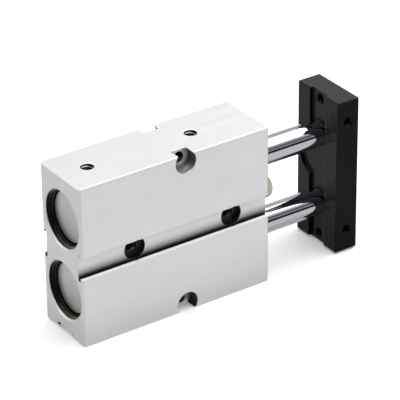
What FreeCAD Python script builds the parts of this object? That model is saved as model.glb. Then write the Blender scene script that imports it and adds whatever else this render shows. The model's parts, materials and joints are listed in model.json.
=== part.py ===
import FreeCAD, Part
import math
import os

# Compact double-rod air cylinder: two 20 mm bores, one above the other, in a flat
# extruded barrel.  Both rods carry one front plate, which cannot turn.
#
# Frame (millimetres): the origin is the centre of the barrel's rear end face, +X runs
# along the rods towards the front plate, +Z points to the face with the air ports, and
# the barrel stands on its lower narrow face.  The rods are drawn fully out.

# ---------------------------------------------------------------- barrel
BARREL_LENGTH = 78.0
BARREL_WIDTH = 25.0
BARREL_HEIGHT = 62.0
BORE_PITCH = 28.0              # between the two bore axes
BORE_D = 20.0
SEAT_BORE_D = 21.4             # wider bore at each end, for end cap and rod cover
SEAT_BORE_CHAMFER = 0.6
LONG_EDGE_CHAMFER = 0.3
END_EDGE_CHAMFER = 0.6         # around both end faces

# T-shaped sensor slots in both wide faces and in the lower narrow face
SLOT_OPENING = 8.2
SLOT_DEPTH = 2.3
SLOT_UNDERCUT = 1.0
SLOT_LIP = 1.15
SLOT_ROUND = 0.35

# ---------------------------------------------------------------- holes in the barrel
PORT_THREAD_D = 4.6            # M5, at its pitch diameter
PORT_CHAMFER = 0.25
PORT_SETBACK = 0.3             # from the port's wall to the end of its air chamber
PASSAGE_D = 3.0                # drilled through the web, joins the two bores
MOUNT_CENTRE_X = 43.0
WEB_HOLE_PITCH = 40.4
WEB_HOLE_D = 4.6               # M5, at its pitch diameter
EDGE_HOLE_D = 4.3
EDGE_HOLE_INSET = 3.0          # from the upper and lower narrow faces
COUNTERBORE_D = 8.5
COUNTERBORE_NEAR = 4.7         # depth from the near wide face (-Y)
COUNTERBORE_FAR = 3.4          # depth from the far wide face (+Y)

# ---------------------------------------------------------------- motion
STROKE = 20.0
END_GAP = 0.3                  # free gap left at both ends of the stroke
PLATE_GAP_IN = 10.4            # barrel to plate with the rods fully in

# ---------------------------------------------------------------- fits, radial
FIT_GAP = 0.05                 # static pieces in their seats
RUN_GAP = 0.03                 # guides and seals that slide
THREAD_GAP = 0.05              # plain stand-in for a thread

# ---------------------------------------------------------------- retaining rings
CLIP_SETBACK = 1.9
CLIP_THICKNESS = 1.4
CLIP_SIDE_PLAY = 0.1
CLIP_GROOVE_DEPTH = 0.6
CLIP_BAND = 1.4
CLIP_EAR_D = 3.0
CLIP_EAR_HOLE_D = 1.3
CLIP_GAP_ANGLE = 26.0

# ---------------------------------------------------------------- rear end cap
CAP_THICKNESS = 5.2
CAP_CHAMFER = 0.4
RING_CORD_D = 1.5              # O-ring cord
RING_GROOVE_PLAY = 0.4
CAP_GROOVE_SETBACK = 1.7       # groove side from the piece's outer face
DAMPER_THICKNESS = 1.5
DAMPER_PROUD = 0.5
CAP_DAMPER_D = 12.0

# ---------------------------------------------------------------- rod cover
COVER_FLANGE = 8.0
COVER_NECK_D = 17.2
COVER_NECK_SLACK = 1.0         # neck length beyond the front port
COVER_DAMPER_D = 15.0
BUSH_WALL = 1.2
BUSH_SETBACK = 3.4             # from the cover's inner face
BUSH_TO_SEAL = 0.9
ROD_SEAL_LENGTH = 3.0
ROD_SEAL_WALL = 2.3
ROD_SEAL_SETBACK = 1.9         # from the cover's outer face
COVER_MOUTH_GAP = 0.3

# ---------------------------------------------------------------- rods and pistons
ROD_D = 10.0
ROD_CHAMFER = 0.5
ROD_SPIGOT_D = 8.0
NUT_LENGTH = 4.5
NUT_AF = 13.0
BACK_THICKNESS = 1.8
MAGNET_LENGTH = 4.5
MAGNET_BORE_D = 12.5
MAGNET_RIM_INSET = 0.4
PISTON_LENGTH = 9.9
PISTON_GAP = 0.15
PISTON_CHAMFER = 0.3
SEAL_GROOVE_WIDTH = 2.8
SEAL_GROOVE_DEPTH = 2.4
SEAL_GROOVE_SETBACK = 1.6
WEAR_RING_WIDTH = 3.0
WEAR_RING_THICKNESS = 1.0
WEAR_RING_SETBACK = 1.2
WEAR_RING_SPLIT = 1.0

# ---------------------------------------------------------------- front plate
PLATE_THICKNESS = 9.6
PLATE_WIDTH = 23.6
PLATE_HEIGHT = 61.0
PLATE_CHAMFER = 0.35
CHANNEL_WIDTH = 9.2            # upright channel between the rod seats
CHANNEL_DEPTH = 1.25
RELIEF_R = 9.9                 # round relief in the far strip beside the channel
RELIEF_Y = 0.6
RELIEF_Z = 4.5
PLATE_THREAD_D = 3.6           # M4, at its pitch diameter
PLATE_THREAD_CHAMFER = 0.3
SIDE_THREAD_PITCH = 44.0
FACE_THREAD_PITCH = 55.0
SCREW_D = 5.0
SCREW_HEAD_D = 8.5
SCREW_HEAD_HEIGHT = 5.0
SCREW_LENGTH = 12.0
SCREW_SOCKET_AF = 4.0
SCREW_SOCKET_DEPTH = 2.5
SCREW_HOLE_GAP = 0.25
SCREW_SEAT_DEPTH = 5.2
ROD_THREAD_DEPTH = 13.0

# ---------------------------------------------------------------- stroke stop
STOP_D = 4.0
STOP_SPARE = 3.0               # screwed back this far from the stroke's own end
STOP_ENGAGEMENT = 9.0
STOP_HOLE_DEPTH = 11.5
STOP_NUT_AF = 7.0
STOP_NUT_HEIGHT = 2.6
STOP_CUP_D = 8.5
STOP_CUP_HEIGHT = 1.0
PAD_THICKNESS = 2.6
PAD_ROUND = 1.4
PAD_STEM_D = 2.0
PAD_STEM_LENGTH = 2.2

# ---------------------------------------------------------------- places worked out
X_AXIS = FreeCAD.Vector(1, 0, 0)
Y_AXIS = FreeCAD.Vector(0, 1, 0)
Z_AXIS = FreeCAD.Vector(0, 0, 1)
OVERRUN = 1.0                  # how far cutting tools pass a face

BORES = {"upper": BORE_PITCH / 2, "lower": -BORE_PITCH / 2}
bore_r = BORE_D / 2
seat_r = SEAT_BORE_D / 2
rod_r = ROD_D / 2

cap_x = CLIP_SETBACK + CLIP_THICKNESS
cap_seat_x = cap_x + CAP_THICKNESS
rear_stop_x = cap_seat_x + DAMPER_PROUD

nut_x = rear_stop_x + END_GAP + STROKE
back_x = nut_x + NUT_LENGTH
magnet_x = back_x + BACK_THICKNESS
piston_x = magnet_x + MAGNET_LENGTH
piston_end_x = piston_x + PISTON_LENGTH

cover_x = piston_end_x + END_GAP + DAMPER_PROUD
cover_end_x = BARREL_LENGTH - CLIP_SETBACK - CLIP_THICKNESS
cover_seat_x = cover_end_x - COVER_FLANGE

port_rear_x = cap_seat_x + PORT_SETBACK + PORT_THREAD_D / 2
port_front_x = cover_x + PORT_SETBACK + PORT_THREAD_D / 2
neck_end_x = port_front_x + PORT_THREAD_D / 2 + COVER_NECK_SLACK

plate_x = BARREL_LENGTH + PLATE_GAP_IN + STROKE
channel_x = plate_x + CHANNEL_DEPTH
plate_end_x = plate_x + PLATE_THICKNESS
screw_seat_x = plate_end_x - SCREW_SEAT_DEPTH
stop_tip_x = channel_x - STROKE - END_GAP - STOP_SPARE


# ---------------------------------------------------------------- helpers
def turned(profile, z):
    """Solid turned about a line along X at height z, from (x, radius) points.

    The profile stands to the side (+Y), so its seam stays clear of the upright holes.
    """
    points = [FreeCAD.Vector(x, r, 0) for x, r in profile]
    wire = Part.makePolygon(points + points[:1])
    solid = Part.Face(wire).revolve(FreeCAD.Vector(0, 0, 0), X_AXIS, 360)
    solid.translate(FreeCAD.Vector(0, 0, z))
    return solid


def rod_along_x(x0, x1, radius, z=0.0):
    return Part.makeCylinder(radius, x1 - x0, FreeCAD.Vector(x0, 0, z), X_AXIS)


def hole_along_y(x, z, radius, y0, y1):
    return Part.makeCylinder(radius, y1 - y0, FreeCAD.Vector(x, y0, z), Y_AXIS)


def hole_along_z(x, radius, z0, z1):
    return Part.makeCylinder(radius, z1 - z0, FreeCAD.Vector(x, 0, z0), Z_AXIS)


def sleeve(x0, x1, outer_r, inner_r, chamfer, z):
    """Plain ring with a small chamfer on both outer edges."""
    profile = [(x0, inner_r), (x0, outer_r - chamfer), (x0 + chamfer, outer_r),
               (x1 - chamfer, outer_r), (x1, outer_r - chamfer), (x1, inner_r)]
    return turned(profile, z)


def hexagon(x0, x1, across_flats, z):
    """Hexagonal bar along X with two flats facing sideways."""
    corner_r = across_flats / math.sqrt(3)
    points = []
    for side in range(7):
        angle = math.radians(60 * side)
        offset = FreeCAD.Vector(0, corner_r * math.sin(angle), corner_r * math.cos(angle))
        points.append(FreeCAD.Vector(x0, 0, z) + offset)
    return Part.Face(Part.makePolygon(points)).extrude(X_AXIS * (x1 - x0))


def hex_nut(x0, x1, across_flats, hole_r, z):
    """Hexagon nut whose corners are turned off at 30 degrees on both faces."""
    corner_r = across_flats / math.sqrt(3)
    flat_r = across_flats / 2
    slope = (corner_r - flat_r) * math.tan(math.radians(30))
    envelope = turned([(x0, 0), (x0, flat_r), (x0 + slope, corner_r),
                       (x1 - slope, corner_r), (x1, flat_r), (x1, 0)], z)
    blank = hexagon(x0, x1, across_flats, z).common(envelope)
    return blank.cut(rod_along_x(x0 - OVERRUN, x1 + OVERRUN, hole_r, z))


def edges_along(shape, direction, keep):
    """Straight edges parallel to direction whose middle passes the test keep."""
    found = []
    for edge in shape.Edges:
        along = edge.Vertexes[-1].Point - edge.Vertexes[0].Point
        if along.cross(direction).Length < 1e-6 and keep(edge.CenterOfMass):
            found.append(edge)
    return found


# ---------------------------------------------------------------- barrel
def slot_tool():
    """T-shaped cutter along X, open at z = 0 and as deep as the slot in +Z."""
    length = BARREL_LENGTH + 2 * OVERRUN
    mouth = Part.makeBox(length, SLOT_OPENING, SLOT_DEPTH + OVERRUN,
                         FreeCAD.Vector(-OVERRUN, -SLOT_OPENING / 2, -OVERRUN))
    wide = SLOT_OPENING + 2 * SLOT_UNDERCUT
    head = Part.makeBox(length, wide, SLOT_DEPTH - SLOT_LIP,
                        FreeCAD.Vector(-OVERRUN, -wide / 2, SLOT_LIP))
    head = head.makeFillet(SLOT_ROUND, edges_along(head, X_AXIS, lambda p: True))
    return mouth.fuse(head)


def slots():
    tools = []
    for turn, y, z in ((-90, -BARREL_WIDTH / 2, 0), (90, BARREL_WIDTH / 2, 0),
                       (0, 0, -BARREL_HEIGHT / 2)):
        tool = slot_tool()
        tool.rotate(FreeCAD.Vector(0, 0, 0), X_AXIS, turn)
        tool.translate(FreeCAD.Vector(0, y, z))
        tools.append(tool)
    return tools


def bore_tool(z):
    """Both seats, both ring grooves and the cylinder bore as one turned cutter."""
    groove_r = seat_r + CLIP_GROOVE_DEPTH
    groove_width = CLIP_THICKNESS + CLIP_SIDE_PLAY
    mouth_r = seat_r + SEAT_BORE_CHAMFER
    rear = [(-OVERRUN, 0), (-OVERRUN, mouth_r), (0, mouth_r),
            (SEAT_BORE_CHAMFER, seat_r), (CLIP_SETBACK, seat_r), (CLIP_SETBACK, groove_r),
            (CLIP_SETBACK + groove_width, groove_r), (CLIP_SETBACK + groove_width, seat_r),
            (cap_seat_x, seat_r), (cap_seat_x, bore_r)]
    front = [(BARREL_LENGTH - x, r) for x, r in rear[:8]]
    front += [(cover_seat_x, seat_r), (cover_seat_x, bore_r)]
    return turned(rear + front[::-1], z)


def mounting_holes():
    """Counterbored holes across the barrel: two tapped in the web, two near the edges."""
    half = BARREL_WIDTH / 2
    edge_z = BARREL_HEIGHT / 2 - EDGE_HOLE_INSET
    places = [(MOUNT_CENTRE_X - WEB_HOLE_PITCH / 2, 0, WEB_HOLE_D),
              (MOUNT_CENTRE_X + WEB_HOLE_PITCH / 2, 0, WEB_HOLE_D),
              (MOUNT_CENTRE_X, edge_z, EDGE_HOLE_D),
              (MOUNT_CENTRE_X, -edge_z, EDGE_HOLE_D)]
    tools = []
    for x, z, diameter in places:
        tools.append(hole_along_y(x, z, diameter / 2, -half, half))
        tools.append(hole_along_y(x, z, COUNTERBORE_D / 2, -half - OVERRUN,
                                  -half + COUNTERBORE_NEAR))
        tools.append(hole_along_y(x, z, COUNTERBORE_D / 2, half - COUNTERBORE_FAR,
                                  half + OVERRUN))
    return tools


def air_ways():
    """Two ports into the upper bore, and the drilled ways on into the lower bore."""
    top = BARREL_HEIGHT / 2
    tools = []
    for x in (port_rear_x, port_front_x):
        tools.append(hole_along_z(x, PORT_THREAD_D / 2, BORES["upper"], top + OVERRUN))
        mouth_r = PORT_THREAD_D / 2 + PORT_CHAMFER
        tools.append(Part.makeCone(PORT_THREAD_D / 2, mouth_r, PORT_CHAMFER,
                                   FreeCAD.Vector(x, 0, top - PORT_CHAMFER), Z_AXIS))
        tools.append(hole_along_z(x, PASSAGE_D / 2, BORES["lower"], BORES["upper"]))
    return tools


def barrel_body():
    corner = FreeCAD.Vector(0, -BARREL_WIDTH / 2, -BARREL_HEIGHT / 2)
    block = Part.makeBox(BARREL_LENGTH, BARREL_WIDTH, BARREL_HEIGHT, corner)
    end_edges = [edge for axis in (Y_AXIS, Z_AXIS)
                 for edge in edges_along(block, axis, lambda p: True)]
    block = block.makeChamfer(END_EDGE_CHAMFER, end_edges)
    inner = END_EDGE_CHAMFER + LONG_EDGE_CHAMFER
    long_edges = edges_along(block, X_AXIS, lambda p: inner < p.x < BARREL_LENGTH - inner)
    block = block.makeChamfer(LONG_EDGE_CHAMFER, long_edges)
    tools = slots() + [bore_tool(z) for z in BORES.values()]
    tools += mounting_holes() + air_ways()
    tools.append(rod_along_x(BARREL_LENGTH - STOP_HOLE_DEPTH, BARREL_LENGTH + OVERRUN,
                             STOP_D / 2 + THREAD_GAP))
    return block.cut(tools)


# ---------------------------------------------------------------- pieces that close a bore
def circlip(x0, z):
    """Internal retaining ring: a band that narrows towards two eyed ends."""
    outer_r = seat_r + CLIP_GROOVE_DEPTH - FIT_GAP
    inner_r = outer_r - CLIP_BAND
    x1 = x0 + CLIP_THICKNESS
    band = rod_along_x(x0, x1, outer_r)
    eccentric = CLIP_BAND / 6
    window = Part.makeCylinder(inner_r, CLIP_THICKNESS + 2 * OVERRUN,
                               FreeCAD.Vector(x0 - OVERRUN, -eccentric, 0), X_AXIS)
    band = band.cut(window)
    ear_r = CLIP_EAR_D / 2
    ear_path_r = seat_r - FIT_GAP - ear_r
    half_gap = math.radians(CLIP_GAP_ANGLE / 2)
    reach = 2 * outer_r
    wedge_points = [FreeCAD.Vector(x0 - OVERRUN, 0, 0)]
    for side in (-1, 1):
        wedge_points.append(FreeCAD.Vector(x0 - OVERRUN, -reach * math.cos(half_gap),
                                           side * reach * math.sin(half_gap)))
    wedge = Part.Face(Part.makePolygon(wedge_points + wedge_points[:1]))
    ring = band.cut(wedge.extrude(X_AXIS * (CLIP_THICKNESS + 2 * OVERRUN)))
    ear_angle = half_gap + math.asin(ear_r / ear_path_r)
    for side in (-1, 1):
        centre = FreeCAD.Vector(x0, -ear_path_r * math.cos(ear_angle),
                                side * ear_path_r * math.sin(ear_angle))
        ear = Part.makeCylinder(ear_r, CLIP_THICKNESS, centre, X_AXIS)
        eye = Part.makeCylinder(CLIP_EAR_HOLE_D / 2, CLIP_THICKNESS + 2 * OVERRUN,
                                centre - X_AXIS * OVERRUN, X_AXIS)
        ring = ring.fuse(ear).cut(eye)
    ring.translate(FreeCAD.Vector(0, 0, z))
    return ring.removeSplitter()


def o_ring(x_centre, z):
    """Squeezed cord in a groove: an eight-sided section just clear of floor and bore."""
    half = RING_CORD_D / 2 - RUN_GAP
    path_r = seat_r - RING_CORD_D / 2
    corner = half / math.cos(math.radians(22.5))
    angles = [math.radians(22.5 + 45 * side) for side in range(8)]
    return turned([(x_centre + corner * math.cos(a), path_r + corner * math.sin(a))
                   for a in angles], z)


def end_cap(z):
    """Round cap with an O-ring groove and an inner pocket for the rear damper."""
    rim_r = seat_r - FIT_GAP
    groove_x = cap_x + CAP_GROOVE_SETBACK
    groove_end = groove_x + RING_CORD_D + RING_GROOVE_PLAY
    groove_r = seat_r - RING_CORD_D
    pocket_x = rear_stop_x - DAMPER_THICKNESS
    pocket_r = CAP_DAMPER_D / 2 + FIT_GAP
    return turned([(cap_x, 0), (cap_x, rim_r - CAP_CHAMFER), (cap_x + CAP_CHAMFER, rim_r),
                   (groove_x, rim_r), (groove_x, groove_r), (groove_end, groove_r),
                   (groove_end, rim_r), (cap_seat_x, rim_r), (cap_seat_x, pocket_r),
                   (pocket_x, pocket_r), (pocket_x, 0)], z)


def rear_damper(z):
    chamfer = DAMPER_PROUD / 2
    x0 = rear_stop_x - DAMPER_THICKNESS
    damper_r = CAP_DAMPER_D / 2
    return turned([(x0, 0), (x0, damper_r), (rear_stop_x - chamfer, damper_r),
                   (rear_stop_x, damper_r - chamfer), (rear_stop_x, 0)], z)


def cover_groove():
    """Where the rod cover's O-ring groove starts and ends."""
    end = cover_end_x - CAP_GROOVE_SETBACK
    return end - RING_CORD_D - RING_GROOVE_PLAY, end


def rod_cover(z):
    """Flanged guide with an annular air gallery behind it, a bush bore and a seal groove."""
    flange_r = seat_r - FIT_GAP
    nose_r = bore_r - FIT_GAP
    neck_r = COVER_NECK_D / 2
    groove_x, groove_end = cover_groove()
    body = turned([(cover_x, 0), (cover_x, neck_r), (neck_end_x, neck_r),
                   (neck_end_x, nose_r), (cover_seat_x, nose_r), (cover_seat_x, flange_r),
                   (groove_x, flange_r), (groove_x, seat_r - RING_CORD_D),
                   (groove_end, seat_r - RING_CORD_D), (groove_end, flange_r),
                   (cover_end_x - CAP_CHAMFER, flange_r),
                   (cover_end_x, flange_r - CAP_CHAMFER), (cover_end_x, 0)], z)
    mouth_r = rod_r + COVER_MOUTH_GAP
    bush_x, bush_end = bush_span()
    seal_x, seal_end = rod_seal_span()
    damper_depth = DAMPER_THICKNESS - DAMPER_PROUD
    tools = [rod_along_x(cover_x - OVERRUN, cover_end_x + OVERRUN, mouth_r, z),
             rod_along_x(cover_x - OVERRUN, cover_x + damper_depth,
                         COVER_DAMPER_D / 2 + FIT_GAP, z),
             rod_along_x(bush_x, bush_end, rod_r + RUN_GAP + BUSH_WALL + FIT_GAP, z),
             rod_along_x(seal_x, seal_end, rod_r + ROD_SEAL_WALL + FIT_GAP, z)]
    return body.cut(tools)


def bush_span():
    return cover_x + BUSH_SETBACK, rod_seal_span()[0] - BUSH_TO_SEAL


def rod_seal_span():
    end = cover_end_x - ROD_SEAL_SETBACK
    return end - ROD_SEAL_LENGTH, end


def rod_bush(z):
    x0, x1 = bush_span()
    inner_r = rod_r + RUN_GAP
    return sleeve(x0, x1, inner_r + BUSH_WALL, inner_r, BUSH_WALL / 4, z)


def rod_seal(z):
    """Lip seal: a solid heel outside and two lips that open towards the air chamber."""
    x0, x1 = rod_seal_span()
    inner_r = rod_r + RUN_GAP
    outer_r = rod_r + ROD_SEAL_WALL
    lip = (outer_r - inner_r) / 3
    throat_x = x0 + (x1 - x0) / 2
    middle_r = (inner_r + outer_r) / 2
    return turned([(x0, inner_r), (x0, inner_r + lip), (throat_x, middle_r),
                   (x0, outer_r - lip), (x0, outer_r), (x1, outer_r),
                   (x1, inner_r + lip / 2), (x1 - lip / 2, inner_r)], z)


def front_damper(z):
    x0 = cover_x - DAMPER_PROUD
    return sleeve(x0, x0 + DAMPER_THICKNESS, COVER_DAMPER_D / 2, rod_r + COVER_MOUTH_GAP,
                  DAMPER_PROUD / 2, z)


# ---------------------------------------------------------------- pieces on a rod
def piston_rod(z):
    """Ground rod: nut thread and piston spigot behind, screw hole in the front end."""
    spigot_r = ROD_SPIGOT_D / 2
    rod = turned([(nut_x, 0), (nut_x, spigot_r - ROD_CHAMFER),
                  (nut_x + ROD_CHAMFER, spigot_r), (piston_end_x, spigot_r),
                  (piston_end_x, rod_r), (channel_x - ROD_CHAMFER, rod_r),
                  (channel_x, rod_r - ROD_CHAMFER), (channel_x, 0)], z)
    drill_r = SCREW_D / 2 + THREAD_GAP
    return rod.cut(rod_along_x(channel_x - ROD_THREAD_DEPTH, channel_x + OVERRUN, drill_r, z))


def piston_nut(z):
    return hex_nut(nut_x, back_x, NUT_AF, ROD_SPIGOT_D / 2 + THREAD_GAP, z)


def piston_back(z):
    return sleeve(back_x, magnet_x, bore_r - PISTON_GAP, ROD_SPIGOT_D / 2 + FIT_GAP,
                  PISTON_CHAMFER, z)


def magnet(z):
    return sleeve(magnet_x, piston_x, bore_r - MAGNET_RIM_INSET, MAGNET_BORE_D / 2 + FIT_GAP,
                  PISTON_CHAMFER, z)


def piston_grooves():
    """(start, end) of the wear ring groove and of the seal groove."""
    wear = piston_x + WEAR_RING_SETBACK
    seal_end = piston_end_x - SEAL_GROOVE_SETBACK
    return (wear, wear + WEAR_RING_WIDTH), (seal_end - SEAL_GROOVE_WIDTH, seal_end)


def piston(z):
    """Piston whose rear spigot carries the magnet, with two outer grooves."""
    rim_r = bore_r - PISTON_GAP
    (wear_x, wear_end), (seal_x, seal_end) = piston_grooves()
    wear_r = bore_r - RUN_GAP - WEAR_RING_THICKNESS - FIT_GAP
    seal_floor_r = bore_r - SEAL_GROOVE_DEPTH
    hole_r = ROD_SPIGOT_D / 2 + FIT_GAP
    return turned([(magnet_x, hole_r), (magnet_x, MAGNET_BORE_D / 2),
                   (piston_x, MAGNET_BORE_D / 2), (piston_x, rim_r), (wear_x, rim_r),
                   (wear_x, wear_r), (wear_end, wear_r), (wear_end, rim_r),
                   (seal_x, rim_r), (seal_x, seal_floor_r), (seal_end, seal_floor_r),
                   (seal_end, rim_r), (piston_end_x - PISTON_CHAMFER, rim_r),
                   (piston_end_x, rim_r - PISTON_CHAMFER), (piston_end_x, hole_r)], z)


def piston_seal(z):
    """Double-acting seal ring: a hollow waist between two lips on the bore side."""
    _, (x0, x1) = piston_grooves()
    x0 += FIT_GAP
    x1 -= FIT_GAP
    outer_r = bore_r - RUN_GAP
    inner_r = bore_r - SEAL_GROOVE_DEPTH + FIT_GAP
    waist = (outer_r - inner_r) / 4
    third = (x1 - x0) / 3
    return turned([(x0, inner_r), (x0, outer_r), (x0 + third, outer_r - waist),
                   (x1 - third, outer_r - waist), (x1, outer_r), (x1, inner_r),
                   (x1 - third, inner_r + waist), (x0 + third, inner_r + waist)], z)


def wear_ring(z):
    (x0, x1), _ = piston_grooves()
    outer_r = bore_r - RUN_GAP
    ring = sleeve(x0 + FIT_GAP, x1 - FIT_GAP, outer_r, outer_r - WEAR_RING_THICKNESS,
                  WEAR_RING_THICKNESS / 4, z)
    split = Part.makeBox(x1 - x0, BARREL_WIDTH, WEAR_RING_SPLIT,
                         FreeCAD.Vector(x0, 0, z - WEAR_RING_SPLIT / 2))
    return ring.cut(split)


# ---------------------------------------------------------------- front plate
def front_plate():
    corner = FreeCAD.Vector(plate_x, -PLATE_WIDTH / 2, -PLATE_HEIGHT / 2)
    plate = Part.makeBox(PLATE_THICKNESS, PLATE_WIDTH, PLATE_HEIGHT, corner)
    plate = plate.makeChamfer(PLATE_CHAMFER, plate.Edges)
    half = PLATE_WIDTH / 2
    tools = [Part.makeBox(CHANNEL_DEPTH + OVERRUN, CHANNEL_WIDTH, PLATE_HEIGHT + 2 * OVERRUN,
                          FreeCAD.Vector(plate_x - OVERRUN, -CHANNEL_WIDTH / 2,
                                         -PLATE_HEIGHT / 2 - OVERRUN))]
    relief = rod_along_x(plate_x - OVERRUN, channel_x, RELIEF_R, RELIEF_Z)
    relief.translate(FreeCAD.Vector(0, RELIEF_Y, 0))
    far_side = Part.makeBox(CHANNEL_DEPTH + OVERRUN, PLATE_WIDTH, PLATE_HEIGHT,
                            FreeCAD.Vector(plate_x - OVERRUN, 0, -PLATE_HEIGHT / 2))
    tools.append(relief.common(far_side))
    thread_r = PLATE_THREAD_D / 2
    wide_r = thread_r + PLATE_THREAD_CHAMFER
    middle_x = plate_x + PLATE_THICKNESS / 2
    for side in (-1, 1):
        z = side * SIDE_THREAD_PITCH / 2
        tools.append(hole_along_y(middle_x, z, thread_r, -half, half))
        for face in (-1, 1):
            base = FreeCAD.Vector(middle_x, face * (half - PLATE_THREAD_CHAMFER), z)
            tools.append(Part.makeCone(thread_r, wide_r, PLATE_THREAD_CHAMFER, base,
                                       Y_AXIS * face))
        z = side * FACE_THREAD_PITCH / 2
        tools.append(rod_along_x(plate_x, plate_end_x, thread_r, z))
        tools.append(Part.makeCone(wide_r, thread_r, PLATE_THREAD_CHAMFER,
                                   FreeCAD.Vector(channel_x, 0, z), X_AXIS))
        tools.append(Part.makeCone(thread_r, wide_r, PLATE_THREAD_CHAMFER,
                                   FreeCAD.Vector(plate_end_x - PLATE_THREAD_CHAMFER, 0, z),
                                   X_AXIS))
    for z in BORES.values():
        tools.append(rod_along_x(plate_x - OVERRUN, channel_x, rod_r + FIT_GAP, z))
        tools.append(rod_along_x(plate_x, plate_end_x, SCREW_D / 2 + SCREW_HOLE_GAP, z))
        tools.append(rod_along_x(screw_seat_x, plate_end_x + OVERRUN,
                                 SCREW_HEAD_D / 2 + SCREW_HOLE_GAP, z))
    return plate.cut(tools)


def plate_screw(z):
    """Socket head screw from the plate's front into the end of a rod."""
    head_r = SCREW_HEAD_D / 2
    head_end = screw_seat_x + SCREW_HEAD_HEIGHT
    tip_x = screw_seat_x - SCREW_LENGTH
    shank_r = SCREW_D / 2
    screw = turned([(tip_x, 0), (tip_x, shank_r - ROD_CHAMFER),
                    (tip_x + ROD_CHAMFER, shank_r), (screw_seat_x, shank_r),
                    (screw_seat_x, head_r), (head_end - ROD_CHAMFER, head_r),
                    (head_end, head_r - ROD_CHAMFER), (head_end, 0)], z)
    socket = hexagon(head_end - SCREW_SOCKET_DEPTH, head_end + OVERRUN, SCREW_SOCKET_AF, z)
    return screw.cut(socket)


def plate_screws():
    return Part.makeCompound([plate_screw(z) for z in BORES.values()])


# ---------------------------------------------------------------- stroke stop
def stop_screw():
    """Screw that limits the return stroke, with a cup for the soft pad."""
    pad_x = stop_tip_x - PAD_THICKNESS
    cup_x = pad_x - STOP_CUP_HEIGHT
    tail_x = BARREL_LENGTH - STOP_ENGAGEMENT
    shank_r = STOP_D / 2
    screw = turned([(tail_x, 0), (tail_x, shank_r - ROD_CHAMFER),
                    (tail_x + ROD_CHAMFER, shank_r), (cup_x, shank_r),
                    (cup_x, STOP_CUP_D / 2), (pad_x, STOP_CUP_D / 2), (pad_x, 0)], 0)
    stem_hole = rod_along_x(pad_x - PAD_STEM_LENGTH - FIT_GAP, pad_x + OVERRUN,
                            PAD_STEM_D / 2 + FIT_GAP)
    return screw.cut(stem_hole)


def stop_pad():
    """Soft pad with a rounded front edge and a stem that plugs into the screw."""
    pad_x = stop_tip_x - PAD_THICKNESS
    pad = rod_along_x(pad_x, stop_tip_x, STOP_CUP_D / 2)
    rim = [e for e in pad.Edges if e.BoundBox.XMin > stop_tip_x - FIT_GAP]
    pad = pad.makeFillet(PAD_ROUND, rim)
    stem = rod_along_x(pad_x - PAD_STEM_LENGTH, pad_x, PAD_STEM_D / 2)
    return pad.fuse(stem).removeSplitter()


def stop_nut():
    return hex_nut(BARREL_LENGTH, BARREL_LENGTH + STOP_NUT_HEIGHT, STOP_NUT_AF,
                   STOP_D / 2 + THREAD_GAP, 0)


# ---------------------------------------------------------------- all pieces
def all_pieces():
    pieces = {"barrel_body": barrel_body()}
    cover_ring_x = sum(cover_groove()) / 2
    cap_ring_x = cap_x + CAP_GROOVE_SETBACK + (RING_CORD_D + RING_GROOVE_PLAY) / 2
    for side, z in BORES.items():
        pieces[side + "_end_circlip"] = circlip(CLIP_SETBACK, z)
        pieces[side + "_end_cap"] = end_cap(z)
        pieces[side + "_end_cap_ring"] = o_ring(cap_ring_x, z)
        pieces[side + "_rear_damper"] = rear_damper(z)
        pieces[side + "_rod_cover"] = rod_cover(z)
        pieces[side + "_rod_cover_ring"] = o_ring(cover_ring_x, z)
        pieces[side + "_rod_bush"] = rod_bush(z)
        pieces[side + "_rod_seal"] = rod_seal(z)
        pieces[side + "_front_damper"] = front_damper(z)
        pieces[side + "_rod_circlip"] = circlip(cover_end_x, z)
        pieces[side + "_piston_rod"] = piston_rod(z)
        pieces[side + "_piston_nut"] = piston_nut(z)
        pieces[side + "_piston_back"] = piston_back(z)
        pieces[side + "_magnet"] = magnet(z)
        pieces[side + "_piston"] = piston(z)
        pieces[side + "_piston_seal"] = piston_seal(z)
        pieces[side + "_wear_ring"] = wear_ring(z)
    pieces["front_plate"] = front_plate()
    pieces["plate_screws"] = plate_screws()
    pieces["stop_nut"] = stop_nut()
    pieces["stop_screw"] = stop_screw()
    pieces["stop_pad"] = stop_pad()
    return pieces


os.makedirs("parts", exist_ok=True)
for name, shape in all_pieces().items():
    if not shape.isValid():
        raise ValueError(name + " is not a valid solid")
    shape.exportStep("parts/" + name + ".step")
    box = shape.BoundBox
    print("%-24s %d solid  x %.2f..%.2f  volume %.1f" %
          (name, len(shape.Solids), box.XMin, box.XMax, shape.Volume))
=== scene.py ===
import json
import math
import bmesh
import bpy
import numpy as np
from mathutils import Matrix, Vector


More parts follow.
